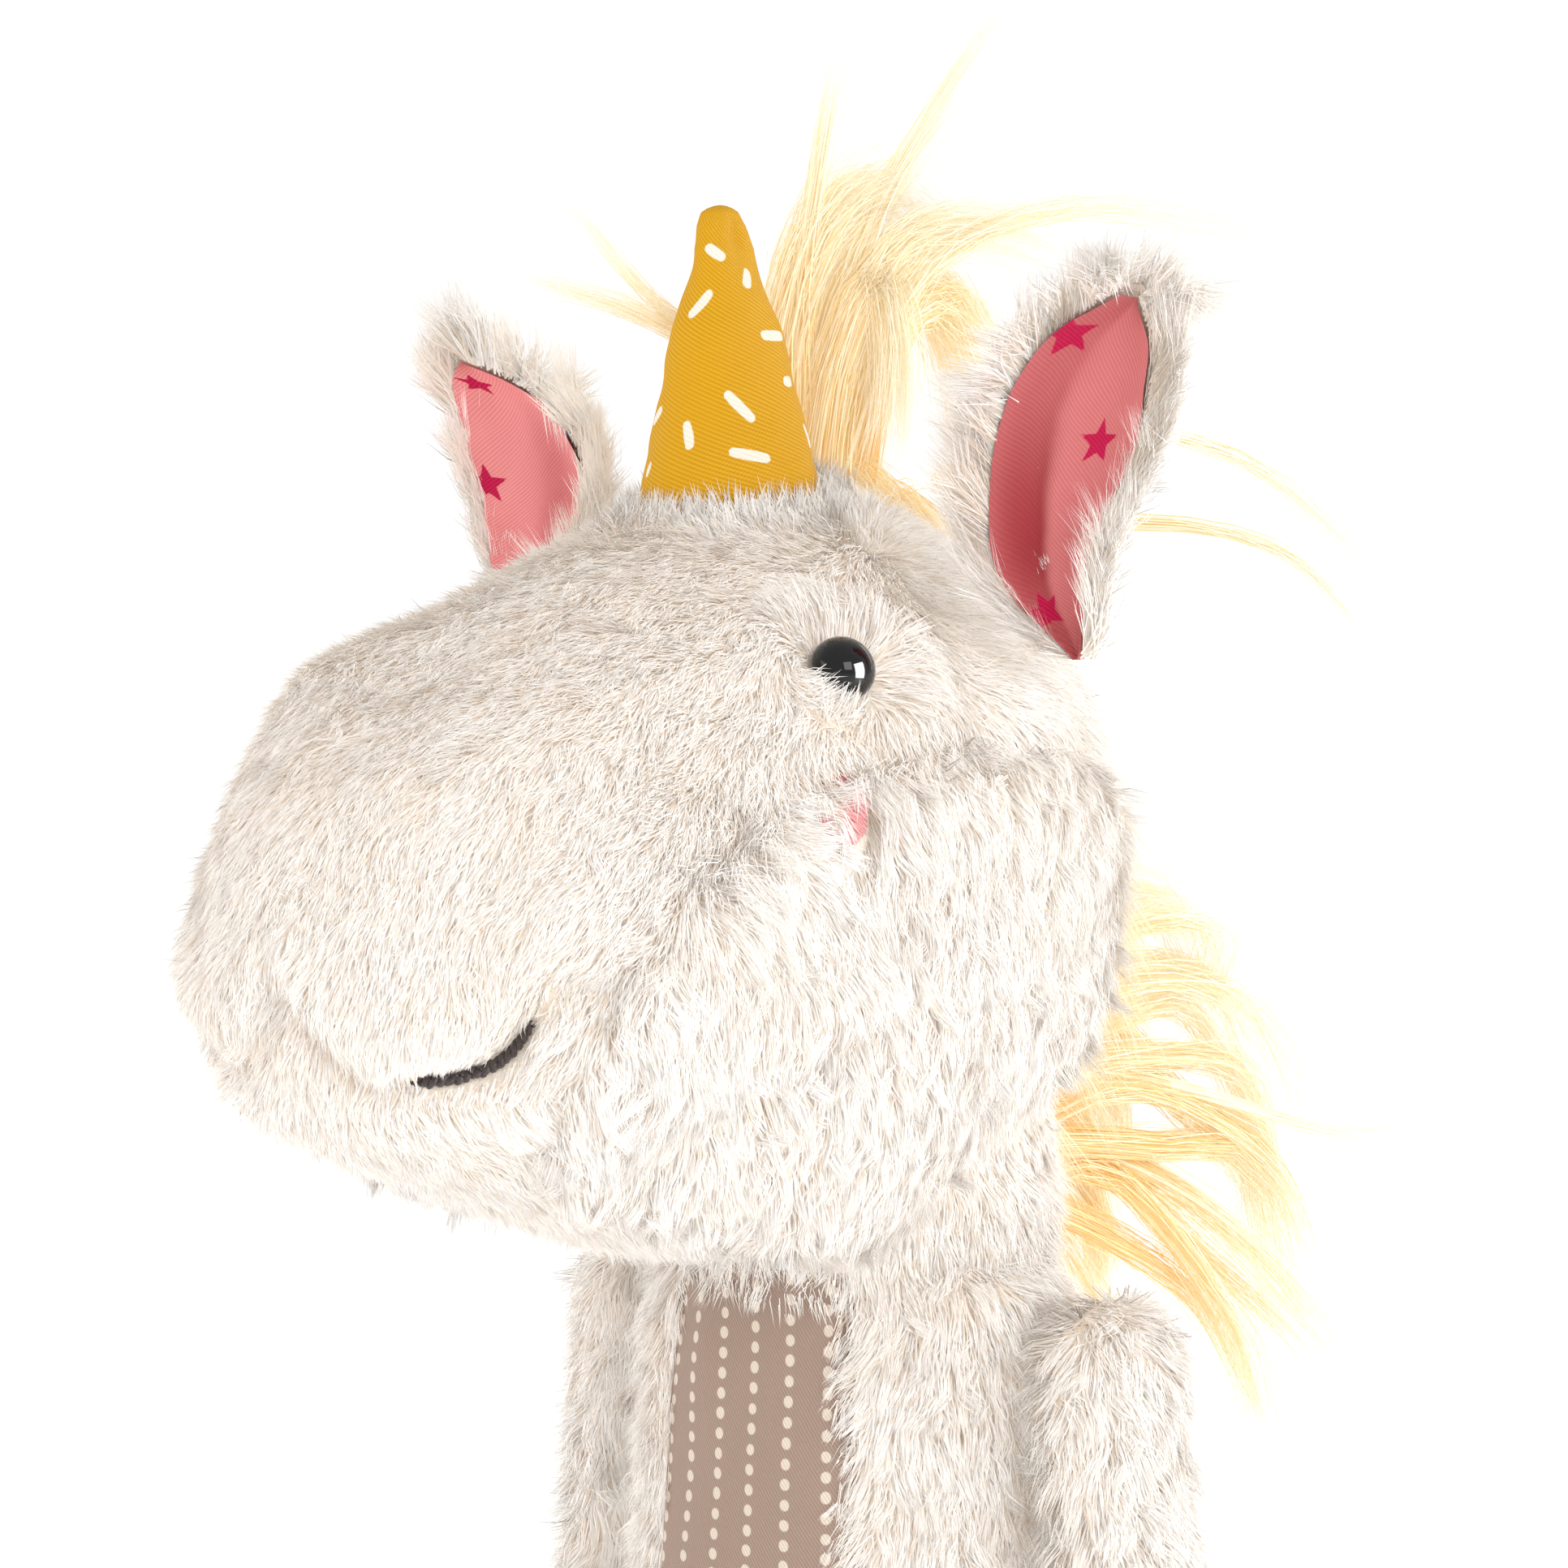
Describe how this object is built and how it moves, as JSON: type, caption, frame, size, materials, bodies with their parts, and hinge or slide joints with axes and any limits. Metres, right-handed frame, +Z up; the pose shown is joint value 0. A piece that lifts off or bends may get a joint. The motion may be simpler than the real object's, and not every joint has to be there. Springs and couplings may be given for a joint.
{
  "type": "plush unicorn",
  "caption": "Seated plush unicorn with a large stuffed head, printed cloth horn and ear linings, long yellow mane, dotted belly panel and soft hanging limbs.",
  "frame": {"origin": "middle of the flat seat the toy sits on", "axes": "+Z up, the toy faces -Y, its left side is +X"},
  "size_m": [0.1888, 0.3082, 0.3807],
  "materials": {
    "plush": "off-white short plush pile",
    "filling": "loose polyester fibre fill",
    "dotted_twill": "taupe cotton twill printed with rows of cream dots",
    "pink_cotton": "pink cotton twill printed with crimson stars",
    "yellow_twill": "mustard cotton twill printed with white sprinkles",
    "yellow_hair": "long silky pale yellow synthetic hair",
    "black_gloss": "black polished plastic",
    "white_nylon": "moulded nylon lock washer",
    "pink_thread": "pink satin-stitch embroidery",
    "brown_thread": "dark brown chain-stitch embroidery",
    "bean_cloth": "cotton pouch filled with plastic pellets"
  },
  "bodies": {
    "torso": {"belly_panel": "dotted_twill", "side_panel_left": "plush", "side_panel_right": "plush", "back_panel": "plush", "seat_panel": "plush", "bean_pouch": "bean_cloth", "torso_stuffing": "filling"},
    "neck": {"neck_cloth": "plush", "neck_stuffing": "filling", "neck_mane": "yellow_hair"},
    "head": {"face_panel": "plush", "head_back_panel": "plush", "chin_panel": "plush", "cheek_panel_left": "plush", "cheek_panel_right": "plush", "head_stuffing": "filling", "eye_left": "black_gloss", "eye_right": "black_gloss", "eye_washer_left": "white_nylon", "eye_washer_right": "white_nylon", "blush_left": "pink_thread", "blush_right": "pink_thread", "mouth_stitching": "brown_thread", "forelock": "yellow_hair", "head_mane": "yellow_hair"},
    "horn": {"horn_cover": "yellow_twill", "horn_stuffing": "filling"},
    "ear_left": {"ear_back_left": "plush", "ear_lining_left": "pink_cotton"},
    "ear_right": {"ear_back_right": "plush", "ear_lining_right": "pink_cotton"},
    "arm_left": {"arm_left": "plush", "arm_stuffing_left": "filling"},
    "arm_right": {"arm_right": "plush", "arm_stuffing_right": "filling"},
    "leg_left": {"leg_left": "plush", "sole_left": "pink_cotton", "leg_stuffing_left": "filling"},
    "leg_right": {"leg_right": "plush", "sole_right": "pink_cotton", "leg_stuffing_right": "filling"},
    "tail": {"tail": "yellow_hair"}
  },
  "joints": [
    {"name": "neck_turn", "type": "hinge", "parent": "torso", "child": "neck", "pos_m": [0, 0.004, 0.147], "axis": [0, 0, 1], "range_deg": [-25, 25], "stiffness_Nm_per_rad": 0.15},
    {"name": "head_nod", "type": "hinge", "parent": "neck", "child": "head", "pos_m": [0, 0.004, 0.172], "axis": [1, 0, 0], "range_deg": [-12, 10], "stiffness_Nm_per_rad": 0.9},
    {"name": "horn_bend", "type": "hinge", "parent": "head", "child": "horn", "pos_m": [0, -0.036, 0.29718], "axis": [1, 0, 0], "range_deg": [-5, 10], "stiffness_Nm_per_rad": 0.02},
    {"name": "ear_left_fold", "type": "hinge", "parent": "head", "child": "ear_left", "pos_m": [0.0523, -0.02385, 0.27876], "axis": [0.8391, 0.042, -0.5424], "range_deg": [-20, 22], "stiffness_Nm_per_rad": 0.03},
    {"name": "ear_right_fold", "type": "hinge", "parent": "head", "child": "ear_right", "pos_m": [-0.0523, -0.02385, 0.27876], "axis": [0.8391, -0.042, 0.5424], "range_deg": [-20, 22], "stiffness_Nm_per_rad": 0.03},
    {"name": "arm_left_swing", "type": "hinge", "parent": "torso", "child": "arm_left", "pos_m": [0.0575, 0.006, 0.134], "axis": [1, 0, 0], "range_deg": [-70, 40]},
    {"name": "arm_right_swing", "type": "hinge", "parent": "torso", "child": "arm_right", "pos_m": [-0.0575, 0.006, 0.134], "axis": [1, 0, 0], "range_deg": [-70, 40]},
    {"name": "leg_left_swing", "type": "hinge", "parent": "torso", "child": "leg_left", "pos_m": [0.03, -0.06, 0.0198], "axis": [1, 0, 0], "range_deg": [-40, 70]},
    {"name": "leg_right_swing", "type": "hinge", "parent": "torso", "child": "leg_right", "pos_m": [-0.03, -0.06, 0.0198], "axis": [1, 0, 0], "range_deg": [-40, 70]},
    {"name": "tail_swing", "type": "hinge", "parent": "torso", "child": "tail", "pos_m": [0, 0.054, 0.033], "axis": [1, 0, 0], "range_deg": [-45, 50]}
  ]
}
